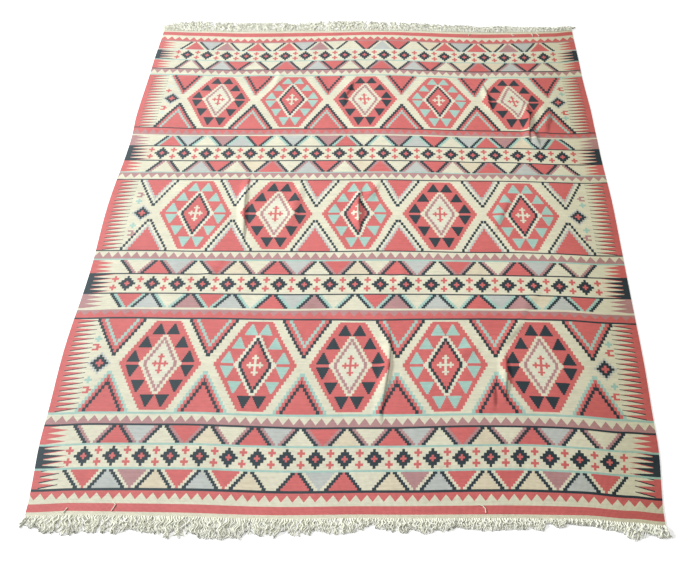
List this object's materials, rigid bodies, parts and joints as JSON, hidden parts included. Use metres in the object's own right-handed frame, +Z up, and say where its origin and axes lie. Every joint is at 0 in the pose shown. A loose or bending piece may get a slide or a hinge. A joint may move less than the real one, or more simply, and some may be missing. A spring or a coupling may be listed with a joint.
{
  "type": "kilim rug",
  "caption": "Flat-woven kilim rug with bands of stepped hexagons, triangles and diamonds, comb-edged sides and warp fringes at both ends, lying flat with a few low folds.",
  "frame": {"origin": "middle of the floor that the laid rug covers, on its underside", "axes": "+X across the rug to its right, +Y along the warps to the far end, +Z up out of the floor"},
  "size_m": [2.065, 2.5522, 0.0159],
  "materials": {
    "woven_wool": "matt weft-faced flat weave in coral, cream, slate navy, aqua and mauve",
    "warp_cotton": "matt undyed loose twisted yarn"
  },
  "bodies": {
    "root": {"woven_cloth": "woven_wool", "far_fringe": "warp_cotton", "near_fringe": "warp_cotton"}
  },
  "joints": []
}
